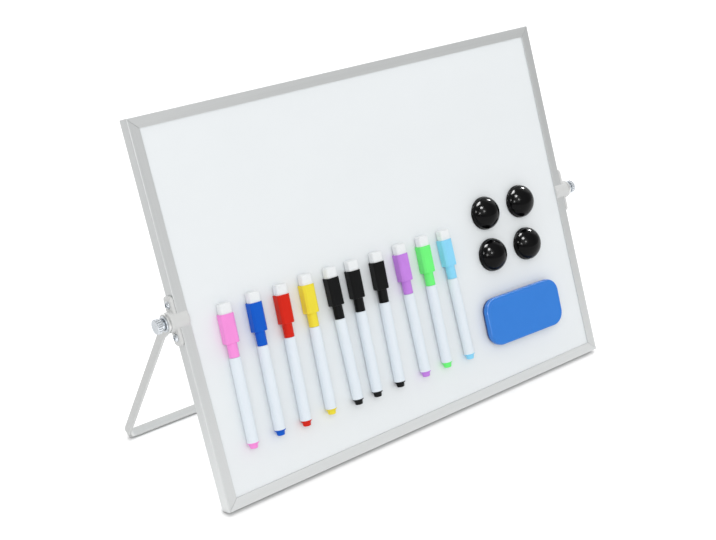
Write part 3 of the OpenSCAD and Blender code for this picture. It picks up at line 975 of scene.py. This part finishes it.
plug_outline = rounded(
    [
        (0, spigot_l), (spigot_r, spigot_l), (spigot_r, 0), (barrel_r, -0.01 * MM),
        (barrel_r, -plug_rim), (plug_waist_r, -plug_rim), (plug_tip_d / 2, -plug_l), (0, -plug_l),
    ],
    mm(0, 0.4, 0, 0.15, 0.25, 0.15, 0.7, 0), closed=False,
)


def felt_outline(play):
    """Outline of the felt's socket in the cap's top, less some play all round."""
    halves = (width / 2 - felt_wall - play for width in (block_w, block_d))
    middle = Vector((0, back_y - block_d / 2))
    return [middle + p for p in rounded(oblong(*halves), block_bevel, 5)]


def marker_cap():
    """The cap about the marker's axis: block, felt socket, collar and bore in one shell."""
    shell = Shell()
    bevel, soft, foot_edge, top_edge = block_bevel, 0.4 * MM, 0.5 * MM, 0.35 * MM
    half, front_y = block_w / 2, back_y - block_d
    corners = [
        (bevel - half, front_y), (half - bevel, front_y), (half, front_y + bevel),
        (half, back_y - bevel / 2), (half - bevel / 2, back_y), (bevel / 2 - half, back_y),
        (-half, back_y - bevel / 2), (-half, front_y + bevel),
    ]
    outline = rounded(corners, soft, 3)
    top = block_z + block_l
    walls = shell.sides(outline, flank(block_z, top, foot_edge, top_edge, 4))

    # Socket for the felt in the top
    lead = 0.25 * MM
    socket = shell.sides(felt_outline(0), [(-lead, top), (0, top - lead), (0, top - felt_seat)])
    shell.lid(walls[-1], socket[0])
    shell.lid(socket[-1])

    # Collar below, with the bore that slides over the neck
    low_z, inner_r, nib_room_r = barrel_l + gap, cap_bore / 2, 1.7 * MM
    collar = rounded(
        [
            (cap_collar_d / 2, block_z), (cap_collar_d / 2, low_z), (inner_r, low_z),
            (inner_r, neck_top + gap), (nib_room_r, neck_top + gap),
            (nib_room_r, nib_tip + 1 * MM),
        ],
        mm(0, 0.3, 0.15, 0, 0.3, 0), closed=False,
    )
    rings = [level(shell, radius, z) for radius, z in collar]
    shell.lid(walls[0], rings[0])
    shell.wall(*rings)
    shell.lid(rings[-1])
    return shell


def felt_pad():
    """The felt: snug in its socket, a little fuller above it, and round at its top edge."""
    layers, seated, fullness, round_h, round_in = 16, 3, 0.12 * MM, 0.9 * MM, 0.7 * MM
    low, top = block_z + block_l - felt_seat + gap, block_z + block_l + felt_l
    outlines = []
    for k in range(layers + 1):
        z = low + (top - low) * k / layers
        share = min(1.0, max(0.0, z - top + round_h) / round_h)
        play = gap - (fullness if k > seated else 0)
        play += round_in * (1 - math.sqrt(1 - 0.98 * share ** 2))
        outlines.append([(*p, z) for p in felt_outline(play)])
    return stacked(outlines)


backwards = placing((0, back_y, block_z + block_l - pip_d), (1, 0, 0), (0, 0, -1), (0, 1, 0))
pip_pocket = turned(pin(pip_d / 2, -pip_t, 1 * MM, 0.02 * MM, 1)).made("pocket", backwards)
pip_profile = pin(pip_d / 2 - 0.05 * MM, 0.05 * MM - pip_t, -0.02 * MM, 0.2 * MM)
models = {
    "barrel": turned(barrel_outline + barrel_outline[:1], 56).made("barrel_model"),
    "tip": turned(nib_outline, 32).made("tip_model"),
    "plug": turned(plug_outline, 56).made("plug_model"),
    "cap": worked(marker_cap().made("cap_model"), pip_pocket, "DIFFERENCE"),
    "pip": turned(pip_profile).made("pip_model", backwards),
    "pad": felt_pad().made("felt_model", crease=50),
}


def gloss_plastic(name, tint, depth=0.06):
    """Moulded gloss plastic of one colour, with faint flow marks and a soft skin."""
    finish = Finish(name, Specular_IOR_Level=0.15)
    flow = finish.noise((0.006, 0.006, 0.012), 3, origin=board)
    skin = finish.noise(0.0009)
    return finish.set(
        Base_Color=finish.mixed(flow, toned(tint, 1 - depth), toned(tint, 1 + depth, 0.002)),
        Roughness=0.26 + 0.14 * flow,
        Normal=finish.bump(skin, 0.000012),
    )


def wool_felt(name, dark, light):
    """Pressed felt: fine tangled fibres over soft lumps."""
    finish = Finish(name, Roughness=0.95, Sheen_Weight=0.3)
    fibres = finish.noise((0.0003, 0.0003, 0.0007), 4, 0.75, origin=board)
    lumps = finish.noise(0.0025, 3, 0.6)
    nap = fibres * 0.7 + lumps * 0.3
    return finish.set(Base_Color=finish.mixed(nap, dark, light), Normal=finish.bump(nap, 0.0004))


ink_tints = {
    "pink": shade(247, 147, 221), "blue": shade(5, 90, 201), "red": shade(214, 34, 14),
    "yellow": shade(239, 221, 62), "black": shade(4, 5, 6), "purple": shade(198, 132, 228),
    "green": shade(114, 250, 126), "sky": shade(141, 216, 249),
}
inks = {ink: gloss_plastic("cap_" + ink, tint) for ink, tint in ink_tints.items()}
barrel_white = gloss_plastic("barrel_white", shade(229, 237, 244), 0.015)
pad_felt = wool_felt("pad_felt", shade(228, 232, 234), shade(252, 254, 255))
nickel = zinc_plate("nickel", shade(200, 198, 194))


def soaked(name, tint):
    """Pressed fibre soaked with ink, streaked along its length between the ink's tint and a darker
    one.
    """
    finish = Finish("fibre_" + name, Roughness=0.8)
    fibres = finish.noise((0.0004, 0.0004, 0.004), 3, 0.6, origin=board)
    return finish.set(
        Base_Color=finish.mixed(fibres, toned(tint, 0.75), tint),
        Normal=finish.bump(fibres, 0.0001),
    )


fibres = {ink: soaked(ink, tint) for ink, tint in ink_tints.items()}
for name in names:
    place = marker_place(name)
    ink = name.split("_")[0]
    marker, cap = name + "_marker", name + "_cap"
    parts = (
        ("barrel", marker, "barrel_white", barrel_white, name + "_barrel"),
        ("tip", marker, "felt", fibres[ink], name + "_barrel"),
        ("plug", marker, "ink_" + ink, inks[ink], name + "_plug"),
        ("cap", cap, "ink_" + ink, inks[ink], name + "_cap"),
        ("pip", cap, "zinc", nickel, name + "_cap"),
        ("pad", cap, "felt", pad_felt, name + "_felt"),
    )
    for part, body, slot, material, node in parts:
        piece = bpy.data.objects.new(f"{name}_marker_{part}", models[part].data.copy())
        bpy.context.scene.collection.objects.link(piece)
        piece.data.transform(place)
        fitted(piece, body, slot, material, node)
for model in models.values():
    bpy.data.objects.remove(model)

# Dome magnets
# Black gloss domes moulded in ABS, each with a shallow rim at its foot and a ferrite disc glued
# into a recess in its flat underside.
recess_d, ferrite_t, dome_foot, rim_h, rim_step = mm(18, 4.5, 3, 1.5, 0.35)


def dome_place(node):
    """Placing of a piece that lies on the writing face: Z stands out of the board."""
    return standing(node, across, outward.cross(across), outward)


dome_top = span("magnet_1", dome_place("magnet_1"))[1]
dome_r, dome_h = dome_top.x, dome_top.z
crown_h, crown_steps = dome_h - dome_foot, 26
ball_r = (dome_r ** 2 + crown_h ** 2) / (2 * crown_h)
sweep = math.asin(dome_r / ball_r)
crown = [
    (ball_r * math.sin(angle), dome_h - ball_r + ball_r * math.cos(angle))
    for angle in (sweep * k / crown_steps for k in range(crown_steps, 0, -1))
]
recess_top, shoulder_r = ferrite_t + 0.2 * MM, dome_r - rim_step
foot_profile = rounded(
    [
        (recess_d / 2, recess_top), (recess_d / 2, 0), (dome_r, 0), (dome_r, rim_h),
        (shoulder_r, rim_h + 0.25 * MM), (shoulder_r, 2.4 * MM), crown[2],
    ],
    mm(0, 0.3, 0.35, 0.3, 0.2, 0.5, 0), closed=False,
)
dome_profile = [(0, recess_top), *(tuple(p) for p in foot_profile), *crown[3:], (0, dome_h)]
finish = Finish("gloss_black", Specular_IOR_Level=0.1)
dust = finish.noise(0.0006, 4, 0.7)
gloss_black = finish.set(
    Base_Color=finish.mixed(dust, shade(2, 2, 3), shade(7, 7, 8)),
    Roughness=0.1 + 0.08 * dust,
    Normal=finish.bump(finish.noise(0.009, 1), 0.00003),
)
finish = Finish("ferrite", Roughness=0.7)
grit = finish.noise(0.0004, 4, 0.7)
ferrite = finish.set(
    Base_Color=finish.mixed(grit, shade(44, 43, 43), shade(74, 72, 70)),
    Normal=finish.bump(grit, 0.00008),
)
domes = bpy.data.collections.new("domes")
for number in range(1, 5):
    node = f"magnet_{number}"
    place = dome_place(node)
    dome = turned(dome_profile, 96).made(node + "_dome", place)
    domes.objects.link(fitted(dome, node, "dome_black", gloss_black, node))
    disc = turned(pin(recess_d / 2 - gap, gap, gap + ferrite_t, 0.3 * MM))
    fitted(disc.made(node + "_ferrite", place), node, "dome_black", ferrite, node)

# Eraser
# A moulded foam back, rounded at the edges, bonded to a pad of wool felt that wipes the board.
eraser_l, eraser_w, back_t, wipe_t, eraser_corner = mm(85, 41.5, 5, 3, 12)
eraser_turn = math.radians(-1.4)
foot_edge, back_edge, wipe_edge, pad_inset = mm(0.3, 1.5, 0.4, 1.0)
place = dome_place("eraser") @ Matrix.Rotation(eraser_turn, 4, "Z")
eraser_outline = rounded(oblong(eraser_l / 2, eraser_w / 2), eraser_corner, 16)
back_low = wipe_t + gap


def eraser_back():
    """The back: square below, rounded above, its face dished very slightly inside a rim."""
    top = back_low + back_t
    dish = ((2.3 * MM, 0), (2.9 * MM, 0.12 * MM), (3.5 * MM, 0.2 * MM))
    levels = [(foot_edge, back_low), (0, back_low + foot_edge)]
    levels += [(depth, top - drop) for depth, drop in (*reversed(quarter(back_edge, 6)), *dish)]
    return stacked([[(*p, z) for p in drawn_in(eraser_outline, depth)] for depth, z in levels])


finish = Finish("eraser_foam", Specular_IOR_Level=0.28)
pores, swirl = finish.noise(0.0007, 4, 0.7), finish.noise(0.012, 3)
foam = finish.set(
    Base_Color=finish.mixed(swirl * 0.6 + pores * 0.4, shade(40, 121, 212), shade(48, 129, 220)),
    Roughness=0.3 + 0.16 * pores,
    Normal=finish.bump(pores, 0.00006),
)
wipe = wool_felt("eraser_felt", shade(28, 52, 104), shade(58, 92, 160))
piece = eraser_back().made("eraser_back", place, crease=45)
fitted(piece, "eraser", "eraser_blue", foam, "eraser")
foam_backs = bpy.data.collections.new("foam_backs")
foam_backs.objects.link(piece)
pad = slab(drawn_in(eraser_outline, pad_inset), 0, wipe_t, wipe_edge)
fitted(pad.made("eraser_wipe", place), "eraser", "eraser_blue", wipe, "eraser")

# Floor and light
# A white sweep in a light tent. The floor glows for the camera, and ambient occlusion paints a
# contact shadow into it where a piece touches it. The tent is white, but the metal and the gloss
# mirror less of it from above and beside.
floor_half, floor_glow, mirrored_glow, contact = 4.0, 0.3, 0.62, 4 * MM
sky_light, sky_up, sky_side = 0.79, 0.94, 0.58


def rays(graph):
    """Two wires: 1 where the camera looks, and 1 where something glossy mirrors."""
    kinds = ("Is Camera Ray", "Is Glossy Ray")
    return (graph.node("ShaderNodeLightPath", output=kind) for kind in kinds)


shell = Shell()
shell.lid(shell.ring((*p, 0) for p in oblong(floor_half, floor_half)))
floor = shell.made("floor")
paper = Finish("floor_paper", Roughness=0.9)
seen, glossy = rays(paper)
ahead = paper.ramp(paper.place(1.0).axis("Y"), 0.1, -0.2)
# Ambient occlusion: a painted contact shadow that darkens the floor's colour and glow near the
# pieces
near = paper.node("ShaderNodeAmbientOcclusion", {"Distance": contact}, "AO", samples=8)
paper.set(
    Base_Color=paper.mixed(near, shade(150, 150, 150), shade(238, 238, 238)),
    Emission_Color=(1, 1, 1, 1),
    Emission_Strength=(floor_glow * seen + mirrored_glow * glossy * ahead) * near,
)
coated(floor, paper.material)

world = bpy.context.scene.world or bpy.data.worlds.new("world")
bpy.context.scene.world = world
world.use_nodes = True
world.node_tree.nodes.clear()
sky = Graph(world.node_tree)
seen, glossy = rays(sky)
towards = sky.node("ShaderNodeTexCoord", output="Generated")
sideways = sky.ramp(abs(towards.axis("X")), 0.1, 0.8, curve="SMOOTHSTEP")
raised = sky.ramp(towards.axis("Z"), -0.1, 0.12, curve="SMOOTHSTEP")
gloss_sky = 1 - raised * (1 - sky_up + (sky_up - sky_side) * sideways)
background = sky.node("ShaderNodeBackground", {
    "Color": (1, 1, 1, 1),
    "Strength": seen + glossy * gloss_sky + (1 - seen - glossy) * sky_light,
})
sky.node("ShaderNodeOutputWorld", {"Surface": background})


def lamp(name, direction, reach, size, power, only=None):
    """A soft round lamp aimed at the pivot. With a collection given, it lights that alone."""
    light = bpy.data.lights.new(name, "AREA")
    light.shape, light.size, light.energy = "DISK", size, power
    holder = bpy.data.objects.new(name, light)
    direction = Vector(direction).normalized()
    holder.location = pivot + direction * reach
    holder.rotation_mode = "QUATERNION"
    holder.rotation_quaternion = (-direction).to_track_quat("-Z", "Y")
    bpy.context.scene.collection.objects.link(holder)
    if only:
        holder.light_linking.receiver_collection = only
        holder.light_linking.blocker_collection = only
        holder.visible_diffuse = False


lamp("key", (-0.45, -0.6, 0.62), 3.2, 2.8, 26)
lamp("back", (0.1, 0.93, 0.36), 2.6, 2.2, 14)
lamp("right", (0.75, 0.35, 0.55), 1.5, 1.7, 5.5)
# What the domes and the eraser's edge mirror: the direction, size and power of each lamp
spot_reach = 1.6
highlights = {
    domes: (
        ((0.79, 0.273, 0.55), 0.28, 26), ((-0.19, 0.452, 0.872), 1.0, 230),
        ((-0.357, -0.309, 0.881), 0.42, 42), ((-0.897, 0.006, 0.441), 0.3, 8),
        ((-0.778, -0.495, 0.387), 0.3, 8), ((-0.309, -0.738, 0.6), 0.3, 8),
    ),
    foam_backs: (
        ((-0.35, 0.45, 0.82), 1.0, 80), ((-0.92, -0.36, 0.16), 0.8, 36), ((0.5, 0.3, 0.8), 0.8, 36),
    ),
}
for only, spots in highlights.items():
    for number, (direction, size, power) in enumerate(spots):
        lamp(f"{only.name}_{number}", direction, spot_reach, size, power, only)

bpy.context.scene.view_settings.view_transform = "Standard"
